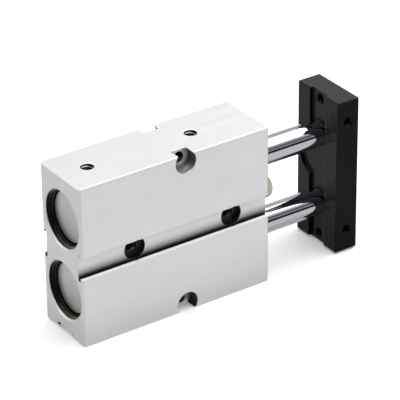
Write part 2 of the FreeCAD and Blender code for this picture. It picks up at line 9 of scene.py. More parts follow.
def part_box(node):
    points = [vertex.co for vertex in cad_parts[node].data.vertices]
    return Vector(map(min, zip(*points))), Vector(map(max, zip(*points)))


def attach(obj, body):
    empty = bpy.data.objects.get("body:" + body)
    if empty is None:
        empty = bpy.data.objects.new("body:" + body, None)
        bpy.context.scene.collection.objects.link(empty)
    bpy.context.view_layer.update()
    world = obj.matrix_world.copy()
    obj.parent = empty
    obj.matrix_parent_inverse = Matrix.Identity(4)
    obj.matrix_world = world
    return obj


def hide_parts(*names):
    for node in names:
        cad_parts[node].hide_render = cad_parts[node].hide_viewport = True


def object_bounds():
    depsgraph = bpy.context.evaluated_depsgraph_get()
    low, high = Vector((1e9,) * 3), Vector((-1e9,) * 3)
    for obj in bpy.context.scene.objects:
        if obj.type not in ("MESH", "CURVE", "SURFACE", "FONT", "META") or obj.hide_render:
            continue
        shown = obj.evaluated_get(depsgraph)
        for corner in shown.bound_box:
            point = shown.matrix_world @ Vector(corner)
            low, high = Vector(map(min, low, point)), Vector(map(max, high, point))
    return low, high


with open("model.json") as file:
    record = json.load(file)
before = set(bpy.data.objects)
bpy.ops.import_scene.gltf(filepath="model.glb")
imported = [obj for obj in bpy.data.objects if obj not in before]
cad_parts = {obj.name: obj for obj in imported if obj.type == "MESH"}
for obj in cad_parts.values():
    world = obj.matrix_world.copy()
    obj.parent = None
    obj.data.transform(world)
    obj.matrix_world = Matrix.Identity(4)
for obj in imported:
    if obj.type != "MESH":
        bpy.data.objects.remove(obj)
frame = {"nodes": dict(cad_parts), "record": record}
cad_box = [list(map(float, corner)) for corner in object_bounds()]

# %% [markdown]
# ## The cylinder and its frame
# A compact double-rod air cylinder: a flat clear-anodised barrel, two chrome rods, a
# black plate. +X runs along the rods, +Z points to the face with the air ports, and
# everything is in metres. The main places come from the boxes of the CAD pieces and from
# the mounts in the record, so they follow a change of size there. What neither of them
# holds, such as the depth of a slot, is a named value in millimetres.

# %% Read the main places from the CAD
MM = 0.001
nodes = frame["nodes"]
mounts = {mount["name"]: mount for mount in frame["record"]["mounts"]}


def reach(node):
    """Lowest and highest corner of a CAD piece, as two arrays of three metres."""
    low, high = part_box(node)
    return np.array(low), np.array(high)


cad_low, cad_high = np.array(cad_box)
barrel_low, barrel_high = reach("barrel_body")
plate_low, plate_high = reach("front_plate")
rod_low, rod_high = reach("upper_piston_rod")
rod_z = (rod_low[2] + rod_high[2]) / 2
FLOOR_Z = float(barrel_low[2])
print("barrel", barrel_low, barrel_high, "plate from", plate_low[0], "rod height", rod_z)

# %% [markdown]
# ## Camera
# The camera stands well back with a long lens, to the left of the barrel and above it,
# so that upright edges stay almost parallel. It could be aimed with a Track To
# constraint, but a small roll is needed as well, so its three axes are worked out from
# azimuth, elevation and roll and set as one matrix. Depth of field stays off.

# %% Camera from azimuth, elevation and roll
AZIMUTH, ELEVATION, ROLL = (math.radians(v) for v in (-34.257, 29.091, -0.663))
DISTANCE = 0.9185
AIM = Vector((0.05710, 0.0, 0.00312))
FOCAL_LENGTH, SENSOR_WIDTH = 235.05, 36.0  # millimetres, as Blender's lens values are
back = Vector((math.sin(AZIMUTH) * math.cos(ELEVATION),
               -math.cos(AZIMUTH) * math.cos(ELEVATION), math.sin(ELEVATION)))
level_right = Vector((math.cos(AZIMUTH), math.sin(AZIMUTH), 0.0))
level_up = back.cross(level_right)
right = math.cos(ROLL) * level_right + math.sin(ROLL) * level_up
up = -math.sin(ROLL) * level_right + math.cos(ROLL) * level_up
lens = bpy.data.cameras.new("camera")
lens.lens, lens.sensor_width = FOCAL_LENGTH, SENSOR_WIDTH
lens.clip_start, lens.clip_end = 0.01, 50.0
camera = bpy.data.objects.new("camera", lens)
stand = Matrix((right, up, back)).transposed().to_4x4()
stand.translation = AIM + back * DISTANCE
camera.matrix_world = stand
bpy.context.scene.collection.objects.link(camera)
bpy.context.scene.camera = camera
print("camera at", tuple(round(v, 4) for v in stand.translation))

# %% [markdown]
# ## Light
# A product like this is lit in a white studio: one broad softbox overhead, a pale sky
# all round and a white table. Several lamps could share the work, but one large area
# light gives one soft shade and no second one. An area light shines straight down until
# it is turned, so this one needs no aim. The view transform is Standard, because it
# keeps white paper white.

# %% World and softbox
SKY_COLOUR, SKY_STRENGTH = (0.98, 0.99, 1.0, 1.0), 0.60
SOFTBOX_PLACE, SOFTBOX_SIZE, SOFTBOX_WATTS = (0.436, 0.0, 0.712), (1.263, 0.987), 10.25
scene = bpy.context.scene
scene.view_settings.view_transform = "Standard"
world = bpy.data.worlds.new("studio")
scene.world = world
world.use_nodes = True
sky = world.node_tree.nodes["Background"]
sky.inputs["Color"].default_value = SKY_COLOUR
sky.inputs["Strength"].default_value = SKY_STRENGTH
light = bpy.data.lights.new("overhead", "AREA")
light.shape = "RECTANGLE"
light.size, light.size_y = SOFTBOX_SIZE
light.energy = SOFTBOX_WATTS
softbox = bpy.data.objects.new("overhead", light)
softbox.location = SOFTBOX_PLACE
scene.collection.objects.link(softbox)
print("softbox of", SOFTBOX_SIZE, "m at", SOFTBOX_PLACE)

# %% [markdown]
# ### Cards for the chrome
# Chrome shows its surroundings, so its look is made by what stands round it. Here that
# is a set of cards, glowing rectangles that only mirror-like surfaces meet: a dark, a
# grey and a dark strip across the front, a white one behind, and two on the table. Cards
# that every ray meets could be used, but they would also light or shade the barrel. The
# two on the table get darker close to the object, in the place of the shade that the
# table has there. All of them stay where they are, wherever one looks from.

# %% Cards
FOOTPRINT_MIDDLE = (*map(float, (cad_low + cad_high)[:2] / 2), FLOOR_Z)
FOOTPRINT_HALF = (*map(float, (cad_high - cad_low)[:2] / 2), 1.0)  # any height is inside
SHADE_REACH, SHADE_AT_EDGE = 23.0 * MM, 0.72


def from_footprint(tree):
    """Distance from the object's footprint: the length of max(|p - middle| - half, 0)."""
    where = tree.nodes.new("ShaderNodeTexCoord").outputs["Object"]
    for operation, value in (("SUBTRACT", FOOTPRINT_MIDDLE), ("ABSOLUTE", None),
                             ("SUBTRACT", FOOTPRINT_HALF), ("MAXIMUM", (0, 0, 0)),
                             ("LENGTH", None)):
        node = tree.nodes.new("ShaderNodeVectorMath")
        node.operation = operation
        tree.links.new(where, node.inputs[0])
        if value is not None:
            node.inputs[1].default_value = value
        where = node.outputs["Value" if operation == "LENGTH" else "Vector"]
    return where


def card(name, corners, brightness, shaded=False):
    """Flat four-cornered card that only mirror-like surfaces can see.

    A shaded card glows with SHADE_AT_EDGE of its brightness at the footprint, and rises
    smoothly to all of it at SHADE_REACH from there.
    """
    mesh = bpy.data.meshes.new(name)
    mesh.from_pydata(corners, [], [(0, 1, 2, 3)])
    paper = bpy.data.materials.new(name)
    paper.use_nodes = True
    tree = paper.node_tree
    tree.nodes.clear()
    glow = tree.nodes.new("ShaderNodeEmission")
    glow.inputs["Color"].default_value = (*brightness, 1.0)
    out = tree.nodes.new("ShaderNodeOutputMaterial")
    tree.links.new(glow.outputs[0], out.inputs["Surface"])
    if shaded:
        fade = tree.nodes.new("ShaderNodeMapRange")
        fade.interpolation_type = "SMOOTHSTEP"
        fade.inputs["From Min"].default_value = 0.0
        fade.inputs["From Max"].default_value = SHADE_REACH
        fade.inputs["To Min"].default_value = SHADE_AT_EDGE
        fade.inputs["To Max"].default_value = 1.0
        tree.links.new(from_footprint(tree), fade.inputs["Value"])
        tree.links.new(fade.outputs["Result"], glow.inputs["Strength"])
    mesh.materials.append(paper)
    obj = bpy.data.objects.new(name, mesh)
    obj.visible_camera = obj.visible_diffuse = obj.visible_shadow = False
    obj.visible_transmission = False
    scene.collection.objects.link(obj)


# %% [markdown]
# ### Places of the cards
# The strips across the front differ only in height and tone, and the two on the table
# only in reach along X and tone, so each set is a short list and a loop. Single calls
# would do as well, but a list shows the heights one above the other.

# %% Hang the cards
FRONT_Y, BACK_Y = -0.69, 1.7
STRIP_START, STRIP_END = -1.1, 2.3
CARD_LIFT = 0.3 * MM
STRIPS = (("dark_card_low", FLOOR_Z, 0.195, (0.03, 0.03, 0.035)),
          ("grey_card_middle", 0.195, 0.304, (0.40, 0.40, 0.42)),
          ("dark_card_high", 0.304, 0.575, (0.14, 0.14, 0.15)))
SHEETS = (("floor_card_right", 0.0, 1.7, (0.74, 0.74, 0.745)),
          ("floor_card_left", -1.7, 0.0, (0.60, 0.60, 0.61)))
for name, low, high, brightness in STRIPS:
    card(name, [(STRIP_START, FRONT_Y, low), (STRIP_END, FRONT_Y, low),
                (STRIP_END, FRONT_Y, high), (STRIP_START, FRONT_Y, high)], brightness)
card("white_card_back", [(-1.0, 0.30, 0.30), (-0.05, 1.0, 0.30), (-0.05, 1.0, 0.95),
                         (-1.0, 0.30, 0.95)], (1.15, 1.15, 1.14))
for name, start, end, brightness in SHEETS:
    height = FLOOR_Z + CARD_LIFT
    card(name, [(start, FRONT_Y, height), (end, FRONT_Y, height), (end, BACK_Y, height),
                (start, BACK_Y, height)], brightness, shaded=True)
print(len(STRIPS) + len(SHEETS) + 1, "cards")

# %% [markdown]
# ## Table top
# The object lies on a wide flat table, level with the underside of the barrel. A curved
# paper sweep is usual in a studio. A flat table is a single face, and this one is wide
# enough that its far edge is out of view when one looks down on it.

# %% Table top
TABLE_HALF = 6.0
table_mesh = bpy.data.meshes.new("table")
table_mesh.from_pydata([(-TABLE_HALF, -TABLE_HALF, FLOOR_Z), (TABLE_HALF, -TABLE_HALF, FLOOR_Z),
                        (TABLE_HALF, TABLE_HALF, FLOOR_Z), (-TABLE_HALF, TABLE_HALF, FLOOR_Z)],
                       [], [(0, 1, 2, 3)])
table = bpy.data.objects.new("table", table_mesh)
scene.collection.objects.link(table)
print("table at", FLOOR_Z)

# %% [markdown]
# ## Helpers for finishes
# Each finish is a Principled shader whose colour, roughness and bump come from noise
# read in Object coordinates. These are in metres on every piece, so one value of
# `per_mm` means the same size of grain everywhere. Image textures would need unwrapped
# pieces, and they would not stay sharp up close.

# %% Grain, tone and bump
NOISE_LOW, NOISE_HIGH = 0.3, 0.7  # the noise seldom leaves this range
SHADER_RAYS = 8


def finish(name, **sockets):
    """New Principled material; sockets gives constant values by socket name."""
    made = bpy.data.materials.new(name)
    made.use_nodes = True
    tree = made.node_tree
    shader = tree.nodes["Principled BSDF"]
    for socket, value in sockets.items():
        shader.inputs[socket.replace("_", " ")].default_value = value
    return made, tree, shader


def grain(tree, per_mm, detail=2.0):
    """Noise from 0 to 1 with per_mm = (x, y, z) features per millimetre."""
    where = tree.nodes.new("ShaderNodeTexCoord")
    spread = tree.nodes.new("ShaderNodeMapping")
    spread.inputs["Scale"].default_value = tuple(v / MM for v in per_mm)
    noise = tree.nodes.new("ShaderNodeTexNoise")
    noise.inputs["Scale"].default_value = 1.0
    noise.inputs["Detail"].default_value = detail
    tree.links.new(where.outputs["Object"], spread.inputs["Vector"])
    tree.links.new(spread.outputs[0], noise.inputs["Vector"])
    return noise.outputs["Fac"]


def between(tree, factor, low, high):
    """Straight-line change from low to high over the noise's usual range."""
    node = tree.nodes.new("ShaderNodeMapRange")
    node.inputs["From Min"].default_value = NOISE_LOW
    node.inputs["From Max"].default_value = NOISE_HIGH
    node.inputs["To Min"].default_value = low
    node.inputs["To Max"].default_value = high
    tree.links.new(factor, node.inputs["Value"])
    return node.outputs["Result"]


def tint(tree, factor, dark, light):
    """Colour that goes from dark to light over the noise's usual range."""
    colours = tree.nodes.new("ShaderNodeValToRGB")
    first, last = colours.color_ramp.elements
    first.position, first.color = NOISE_LOW, (*dark, 1.0)
    last.position, last.color = NOISE_HIGH, (*light, 1.0)
    tree.links.new(factor, colours.inputs["Fac"])
    return colours.outputs["Color"]


def relief(tree, shader, height, depth_mm, edge_mm=0.0):
    """Bump whose full height is depth_mm, over normals rounded by edge_mm at the edges."""
    bump = tree.nodes.new("ShaderNodeBump")
    bump.inputs["Distance"].default_value = depth_mm * MM
    tree.links.new(height, bump.inputs["Height"])
    tree.links.new(bump.outputs["Normal"], shader.inputs["Normal"])
    if edge_mm:
        rounded = tree.nodes.new("ShaderNodeBevel")
        rounded.samples = SHADER_RAYS
        rounded.inputs["Radius"].default_value = edge_mm * MM
        tree.links.new(rounded.outputs["Normal"], bump.inputs["Normal"])


def dress(material, *names):
    """Gives a CAD piece, or several, this material and no other."""
    for name in names:
        mesh = nodes[name].data
        mesh.materials.clear()
        mesh.materials.append(material)
    print(material.name, "on", ", ".join(names))


def both(*endings):
    """Names of a piece on the upper and on the lower bore."""
    return [side + "_" + ending for ending in endings for side in ("upper", "lower")]


# %% [markdown]
# ### Helpers that tell one place from another
# One extruded body has seats, slots, pockets and ports in it, and each looks different.
# They could be separate materials on separate faces, but a CAD mesh is left as it is, so
# a mask works out from Object coordinates where such a place is: 1 there, 0 elsewhere.
# The masks stay on the piece when it moves, and from whichever side one looks.

# %% Masks and sums
def arithmetic(tree, operation, first, second=None, third=None):
    """One Math node; first, second and third are sockets or numbers."""
    node = tree.nodes.new("ShaderNodeMath")
    node.operation = operation
    for socket, value in zip(node.inputs, (first, second, third)):
        if isinstance(value, (int, float)):
            socket.default_value = value
        elif value is not None:
            tree.links.new(value, socket)
    return node.outputs[0]


def size_of(tree, value):
    """The value without its sign."""
    return arithmetic(tree, "ABSOLUTE", value)


def all_of(tree, first, *others):
    """Product of masks: 1 only where every one of them is 1."""
    for other in others:
        first = arithmetic(tree, "MULTIPLY", first, other)
    return first


def below(tree, value, limit):
    """Mask: 1 where value is less than limit."""
    return arithmetic(tree, "LESS_THAN", value, limit)


def above(tree, value, limit):
    """Mask: 1 where value is more than limit."""
    return arithmetic(tree, "GREATER_THAN", value, limit)


def within(tree, value, middle, half):
    """Mask: 1 where value is no further than half from middle."""
    return arithmetic(tree, "COMPARE", value, middle, half)


def distance(tree, first, second):
    """Square root of first squared plus second squared."""
    squares = arithmetic(tree, "ADD", arithmetic(tree, "MULTIPLY", first, first),
                         arithmetic(tree, "MULTIPLY", second, second))
    return arithmetic(tree, "SQRT", squares)


def ramp(tree, value, start, end):
    """Smooth change from 0 at start to 1 at end."""
    node = tree.nodes.new("ShaderNodeMapRange")
    node.interpolation_type = "SMOOTHSTEP"
    falling = start > end
    node.inputs["From Min"].default_value = end if falling else start
    node.inputs["From Max"].default_value = start if falling else end
    node.inputs["To Min"].default_value = 1.0 if falling else 0.0
    node.inputs["To Max"].default_value = 0.0 if falling else 1.0
    tree.links.new(value, node.inputs["Value"])
    return node.outputs["Result"]


def blend(tree, factor, first, second):
    """Mix of two colours, sockets or values, by factor."""
    node = tree.nodes.new("ShaderNodeMix")
    node.data_type = "RGBA"
    tree.links.new(factor, node.inputs["Factor"])
    first_colour, second_colour, mixed = node.inputs[6], node.inputs[7], node.outputs[2]
    for socket, value in ((first_colour, first), (second_colour, second)):
        if isinstance(value, tuple):
            socket.default_value = (*value, 1.0)
        else:
            tree.links.new(value, socket)
    return mixed


def places(tree, what="Object"):
    """Object coordinates, or what="Normal" for the way a face points, as x, y and z."""
    where = tree.nodes.new("ShaderNodeTexCoord")
    apart = tree.nodes.new("ShaderNodeSeparateXYZ")
    tree.links.new(where.outputs[what], apart.inputs[0])
    return tuple(apart.outputs)


def from_bore(tree, y, z):
    """Height above the nearer bore's axis, and distance from that axis."""
    axis = arithmetic(tree, "MULTIPLY", arithmetic(tree, "SIGN", z), float(rod_z))
    height = arithmetic(tree, "SUBTRACT", z, axis)
    return height, distance(tree, height, y)


# The factor below is used to paint shade into colours in holes and corners.
def crevice(tree, reach_mm, low=0.15, high=0.80, local=True):
    """0 deep in holes and corners, 1 in the open, from what stands within reach_mm."""
    node = tree.nodes.new("ShaderNodeAmbientOcclusion")
    node.samples = SHADER_RAYS
    node.only_local = local
    node.inputs["Distance"].default_value = reach_mm * MM
    spread = tree.nodes.new("ShaderNodeMapRange")
    spread.inputs["From Min"].default_value = low
    spread.inputs["From Max"].default_value = high
    tree.links.new(node.outputs["AO"], spread.inputs["Value"])
    return spread.outputs["Result"]


# %% [markdown]
# ## Table paper
# White translucent paper on a light table: matt, nearly white, with a faint unevenness
# and a little glow from below, so that the shade on it stays soft and pale. A plain
# colour would do, but paper is never that even.

# %% Table paper
paper, tree, shader = finish("table_paper", Roughness=0.7, Metallic=0.0, Emission_Strength=0.13)
shader.inputs["Specular IOR Level"].default_value = 0.1
shade = grain(tree, (0.02, 0.02, 0.02))
tree.links.new(tint(tree, shade, (0.90, 0.90, 0.90), (0.93, 0.93, 0.93)),
               shader.inputs["Base Color"])
table_mesh.materials.append(paper)
print(paper.name, "on the table")

# %% [markdown]
# ## Barrel
# The barrel is an aluminium extrusion, etched and clear anodised, and its long faces
# carry very fine die lines, all along X. A satin finish is mostly roughness, so two
# noises stretched along X are enough for the open faces: one for tone, and one for
# roughness and the lines. The places cut into it get their own tones in the cells below.

# %% Clear anodised skin
METAL = 0.75
anodised, tree, shader = finish("clear_anodised_aluminium", Metallic=METAL, IOR=1.6)
lines = grain(tree, (0.02, 2.2, 2.2), detail=3.0)
cloud = grain(tree, (0.05, 0.09, 0.09))
x, y, z = places(tree)
half_length = float(barrel_high[0]) / 2
top_z, half_width = float(barrel_high[2]), float(barrel_high[1])
depth = arithmetic(tree, "SUBTRACT", half_width, size_of(tree, y))
tree.links.new(between(tree, lines, 0.33, 0.42), shader.inputs["Roughness"])
relief(tree, shader, lines, 0.004, edge_mm=0.30)
print("skin over", 2 * half_length, "m")

# %% [markdown]
# ### Cap seats
# The seats at the bores' mouths are turned. Their walls are painted in shade, dark, except on
# the lower side towards -Y, where brownish tool marks show. Light alone could make the
# difference, but it is painted here, so it stays the same whatever the light does.

# %% Cap seats
SEAT_RADIUS, END_MARGIN = 11.6 * MM, 0.65 * MM
SEAT_SHADE_LEAN, SEAT_SHADE_START, SEAT_SHADE_END = 0.6, -3.0 * MM, -11.0 * MM
z_seat, radius = from_bore(tree, y, z)
in_seat = all_of(tree, below(tree, radius, SEAT_RADIUS),
                 within(tree, x, half_length, half_length - END_MARGIN))
turned = grain(tree, (6.0, 0.5, 0.5), detail=3.0)
# Painted shade: dark above, fading out towards the lower side at -Y, where the tool marks show.
leaning = arithmetic(tree, "ADD", z_seat, arithmetic(tree, "MULTIPLY", y, SEAT_SHADE_LEAN))
seat_shade_and_tool_marks = blend(tree, ramp(tree, leaning, SEAT_SHADE_START, SEAT_SHADE_END), (0.010, 0.009, 0.009),
            tint(tree, turned, (0.02, 0.016, 0.013), (0.20, 0.165, 0.135)))
print("seats up to", SEAT_RADIUS, "m from an axis")

# %% [markdown]
# ### Sensor slots
# A sensor slot is wider behind its lips. Its floor is painted in shade towards the lower
# lip, and the lip's top edge carries a painted highlight. The lip could be a strip of its own,
# but it is one edge of the extrusion, so it is a band in the finish, painted as the shade is.

# %% Sensor slots
SLOT_BACK, SLOT_BACK_HALF, SLOT_WIDE_HALF = 1.85 * MM, 0.62 * MM, 5.3 * MM
SLOT_LIGHT, SLOT_DARK = 0.6 * MM, -5.0 * MM
LIP_Z, LIP_HALF, LIP_DEPTH = -4.10 * MM, 0.22 * MM, 1.10 * MM
in_slot = all_of(tree, within(tree, depth, SLOT_BACK, SLOT_BACK_HALF),
                 below(tree, size_of(tree, z), SLOT_WIDE_HALF))
slot_shade = all_of(tree, in_slot, ramp(tree, z, SLOT_LIGHT, SLOT_DARK))
# Painted highlight: a bright band, not metallic, along the lower lip's top edge.
lip_highlight = all_of(tree, below(tree, depth, LIP_DEPTH), within(tree, z, LIP_Z, LIP_HALF))
tree.links.new(arithmetic(tree, "MULTIPLY_ADD", lip_highlight, -METAL, METAL), shader.inputs["Metallic"])
print("slot shade from", SLOT_LIGHT, "to", SLOT_DARK)

# %% [markdown]
# ### Screw pockets and ports
# Each screw hole has a wide pocket for the screw's head, cut with a flat tool that leaves
# rings, and the holes in the web and the ports are tapped. The web holes and the ports are
# painted dark, as shade. The masks are distances from the axes of the holes, which the mounts
# give. The pocket's wall gets painted shade towards +X.

# %% Screw pockets and ports
POCKET_RADIUS, POCKET_WALL, POCKET_EDGE = 4.4 * MM, 4.1 * MM, 0.25 * MM
POCKET_SHIFT, POCKET_LIGHT, POCKET_DARK = -1.5 * MM, 0.2 * MM, 3.4 * MM
FACE_MARGIN, WEB_DEPTH = 0.05 * MM, 2.45 * MM
PORT_RADIUS, PORT_EDGE = 2.45 * MM, 0.20 * MM
web, edge_holes = mounts["web_threads"], mounts["edge_holes"]
tool_rings = grain(tree, (0.15, 1.3, 0.15))

dx = arithmetic(tree, "SUBTRACT", x, float(web["pos_m"][0]))
dz = arithmetic(tree, "SUBTRACT", size_of(tree, z), edge_holes["dims"]["spacing_y_mm"] / 2 * MM)
from_edge_hole = distance(tree, dx, dz)
in_pocket = all_of(tree, below(tree, from_edge_hole, POCKET_RADIUS),
                   above(tree, depth, POCKET_EDGE),
                   below(tree, size_of(tree, z), top_z - FACE_MARGIN))
shifted = arithmetic(tree, "MULTIPLY_ADD", arithmetic(tree, "SIGN", z), POCKET_SHIFT, dx)
# Painted shade: the pocket's wall darkens towards +X.
pocket_painted_shade = all_of(tree, in_pocket, above(tree, from_edge_hole, POCKET_WALL),
                     ramp(tree, shifted, POCKET_LIGHT, POCKET_DARK))

web_dx = arithmetic(tree, "SUBTRACT", size_of(tree, dx), web["dims"]["spacing_x_mm"] / 2 * MM)
in_web = all_of(tree, below(tree, distance(tree, web_dx, z), POCKET_RADIUS),
                above(tree, depth, WEB_DEPTH))

port_rear, port_front = (float(mounts["port_" + end]["pos_m"][0]) for end in ("rear", "front"))
port_middle, port_half = (port_rear + port_front) / 2, (port_front - port_rear) / 2
from_middle = size_of(tree, arithmetic(tree, "SUBTRACT", x, port_middle))
port_dx = arithmetic(tree, "SUBTRACT", from_middle, port_half)
in_port = all_of(tree, below(tree, distance(tree, port_dx, y), PORT_RADIUS),
                 below(tree, z, top_z - PORT_EDGE))
print("ports at", port_rear, "and", port_front)

# %% [markdown]
# ### Putting the barrel's colours together
# The tones are laid one over the other, as coats of paint are. Corners and holes get painted
# shade twice: once under the coats, over a short reach, and once on top of them, over a long
# one. One pass would be simpler, but narrow corners and deep holes would then share one reach.

# %% Colours of the barrel
SHORT_REACH_MM, LONG_REACH_MM, POCKET_AIR = 5.7, 14.0, 0.8
open_air = arithmetic(tree, "MAXIMUM", crevice(tree, SHORT_REACH_MM), lip_highlight)
open_air = arithmetic(tree, "MAXIMUM", open_air,
                      arithmetic(tree, "MULTIPLY", in_pocket, POCKET_AIR))
daylight = arithmetic(tree, "MAXIMUM", crevice(tree, LONG_REACH_MM, 0.12, 0.46), lip_highlight)
skin = tint(tree, cloud, (0.785, 0.783, 0.780), (0.815, 0.812, 0.810))
# Painted highlight on the lip, then painted shade on the slot's floor.
skin = blend(tree, lip_highlight, skin, (0.97, 0.97, 0.965))
skin = blend(tree, slot_shade, skin, (0.020, 0.018, 0.014))
# Painted shade in corners and holes, over the short reach.
skin = blend(tree, open_air, (0.10, 0.094, 0.088), skin)
# Painted shade on the pocket's wall, in the web holes, in the ports and in the seats; the rings and
# marks are tool marks.
COATS = ((in_pocket, tint(tree, tool_rings, (0.30, 0.295, 0.29), (1.0, 0.99, 0.98))),
         (pocket_painted_shade, (0.02, 0.019, 0.018)),
         (in_web, tint(tree, tool_rings, (0.03, 0.028, 0.025), (0.13, 0.125, 0.115))),
         (in_port, (0.010, 0.009, 0.009)),
         (in_seat, seat_shade_and_tool_marks))
for mask, colour in COATS:
    skin = blend(tree, mask, skin, colour)
# Painted shade in corners and holes, over the long reach.
skin = blend(tree, daylight, (0.006, 0.0055, 0.005), skin)
tree.links.new(skin, shader.inputs["Base Color"])
dress(anodised, "barrel_body")

# %% [markdown]
# ## Rods
# The rods are ground and hard chrome plated, so what one sees on them is the studio.
# Grinding leaves rings far finer than a hair round the rod. They hardly show, but they
# soften the mirror a little, which is why the roughness follows a noise squeezed along X.

# %% Hard chrome
chrome, tree, shader = finish("hard_chrome", Metallic=1.0)
rings = grain(tree, (6.0, 0.2, 0.2))
tree.links.new(tint(tree, rings, (0.61, 0.61, 0.665), (0.65, 0.65, 0.70)),
               shader.inputs["Base Color"])
tree.links.new(between(tree, rings, 0.035, 0.065), shader.inputs["Roughness"])
dress(chrome, *both("piston_rod"))

# %% [markdown]
# ## Front plate
# The plate is milled aluminium, anodised and dyed black: nearly black, with a weak gloss.
# The top is painted a little lighter than the sides, as painted light from above. The milled
# rear face is a little lighter than the sides as well, and gets painted shade towards its lower
# end; corners get painted shade too. Two materials could do that, but one finish that asks
# which way a face points needs no split mesh. That direction is the Normal output, which
# is in object space and so turns with the piece.

# %% Front plate
FACING_START, FACING_FULL = 0.6, 0.9
FACE_DARK_Z, FACE_LIGHT_Z = -23.0 * MM, -9.0 * MM
black, tree, shader = finish("black_anodised_plate", Metallic=0.0, IOR=1.5)
shader.inputs["Specular IOR Level"].default_value = 0.11
speck = grain(tree, (3.0, 3.0, 3.0))
facing_x, _, facing_z = places(tree, "Normal")
upward = ramp(tree, facing_z, FACING_START, FACING_FULL)
rearward = all_of(tree, ramp(tree, facing_x, -FACING_START, -FACING_FULL),
                  ramp(tree, places(tree)[2], FACE_DARK_Z, FACE_LIGHT_Z))
# Painted light on the top, painted shade towards the rear face's lower end and in corners.
bare = tint(tree, speck, (0.0012, 0.0012, 0.0013), (0.0026, 0.0026, 0.0028))
lit_top_tone = tint(tree, speck, (0.022, 0.022, 0.023), (0.038, 0.038, 0.039))
milled = tint(tree, grain(tree, (3.0, 3.0, 0.1)), (0.010, 0.010, 0.0105), (0.021, 0.021, 0.0215))
plate_tone_and_shade = blend(tree, rearward, blend(tree, upward, bare, lit_top_tone), milled)
plate_tone_and_shade = blend(tree, crevice(tree, LONG_REACH_MM, 0.12, 0.50), (0.0008, 0.0008, 0.0008), plate_tone_and_shade)
tree.links.new(plate_tone_and_shade, shader.inputs["Base Color"])
tree.links.new(between(tree, speck, 0.10, 0.16), shader.inputs["Roughness"])
relief(tree, shader, speck, 0.0006, edge_mm=0.25)
dress(black, "front_plate")

# %% [markdown]
# ## Small parts
# Screws, nuts, bushes, magnets and rings need only a tone, a roughness and a grain each.
# One function makes them, with a short form for metals and one for rubber and resin. They
# could share one node group, but then a constant would reach the shader through a socket.

# %% Finishes for small parts
def grained(name, dark, light, rough, spread, per_mm, depth_mm, **sockets):
    """Finish whose tone, roughness (rough, give or take spread) and bump share a noise."""
    made, tree, shader = finish(name, **sockets)
    noise = grain(tree, per_mm)
    tree.links.new(tint(tree, noise, dark, light), shader.inputs["Base Color"])
    tree.links.new(between(tree, noise, rough - spread, rough + spread),
                   shader.inputs["Roughness"])
    relief(tree, shader, noise, depth_mm)
    return made


def metal(name, dark, light, rough, per_mm):
    """Bare or plated metal."""
    return grained(name, dark, light, rough, 0.05, per_mm, 0.002, Metallic=1.0)


def soft(name, dark, light, rough, per_mm):
    """Rubber or resin."""
    return grained(name, dark, light, rough, 0.06, per_mm, 0.004, Metallic=0.0, IOR=1.5)


cover_metal = metal("cover_alloy", (0.46, 0.46, 0.47), (0.56, 0.56, 0.57), 0.35, (0.3, 2.5, 2.5))
piston_metal = metal("piston_aluminium", (0.58, 0.58, 0.59), (0.68, 0.68, 0.69), 0.30, (4.0, 0.4, 0.4))
zinc = metal("zinc_steel", (0.50, 0.51, 0.52), (0.64, 0.65, 0.66), 0.28, (1.5, 1.5, 1.5))
oxide = metal("black_oxide_steel", (0.022, 0.022, 0.024), (0.045, 0.045, 0.048), 0.34, (3.0, 3.0, 3.0))
bronze = metal("bearing_bronze", (0.40, 0.28, 0.15), (0.55, 0.40, 0.23), 0.40, (4.0, 4.0, 4.0))
ferrite = metal("magnet_ferrite", (0.06, 0.06, 0.065), (0.10, 0.10, 0.105), 0.50, (3.0, 3.0, 3.0))
rubber = soft("black_rubber", (0.014, 0.014, 0.014), (0.026, 0.026, 0.026), 0.55, (2.0, 2.0, 2.0))
tan = soft("tan_urethane", (0.40, 0.36, 0.30), (0.48, 0.44, 0.37), 0.45, (1.5, 1.5, 1.5))
damper = soft("damper_urethane", (0.36, 0.32, 0.25), (0.44, 0.40, 0.32), 0.45, (1.5, 1.5, 1.5))
resin = soft("wear_resin", (0.05, 0.046, 0.043), (0.08, 0.075, 0.07), 0.5, (2.0, 2.0, 2.0))
dress(cover_metal, *both("rod_cover"))
dress(piston_metal, *both("piston", "piston_back"))
dress(zinc, *both("piston_nut"), "stop_nut", "stop_screw")
dress(oxide, "plate_screws")
dress(bronze, *both("rod_bush"))
dress(ferrite, *both("magnet"))
dress(rubber, *both("end_cap_ring", "rod_cover_ring", "piston_seal", "rod_seal"))
dress(tan, "stop_pad")
dress(damper, *both("rear_damper", "front_damper"))
dress(resin, *both("wear_ring"))

# %% [markdown]
# ## Circlips
# Behind the mouth of each seat sits a spring steel ring, black from its phosphate coat, with
# a painted highlight at its outer edge, and light on its ears. It could have three materials,
# but all three tones lie at their own distance from the bore's axis, so one smooth step on
# that distance parts each from the next.

# %% Circlips
EDGE_HIGHLIGHT_START, EDGE_HIGHLIGHT_FULL = 10.20 * MM, 10.40 * MM
EARS_START, EARS_FULL = 9.3 * MM, 9.1 * MM
clip_steel, tree, shader = finish("clip_steel", Metallic=1.0, Roughness=0.3)
_, y, z = places(tree)
_, radius = from_bore(tree, y, z)
noise = grain(tree, (2.0, 2.0, 2.0))
# Painted highlight: a bright band at the ring's outer edge.
steel = blend(tree, ramp(tree, radius, EDGE_HIGHLIGHT_START, EDGE_HIGHLIGHT_FULL),
              tint(tree, noise, (0.016, 0.013, 0.011), (0.03, 0.025, 0.021)),
              tint(tree, noise, (0.72, 0.66, 0.60), (0.92, 0.86, 0.80)))
steel = blend(tree, ramp(tree, radius, EARS_START, EARS_FULL), steel, (0.60, 0.59, 0.58))
tree.links.new(steel, shader.inputs["Base Color"])
relief(tree, shader, noise, 0.003)
dress(clip_steel, *both("end_circlip", "rod_circlip"))
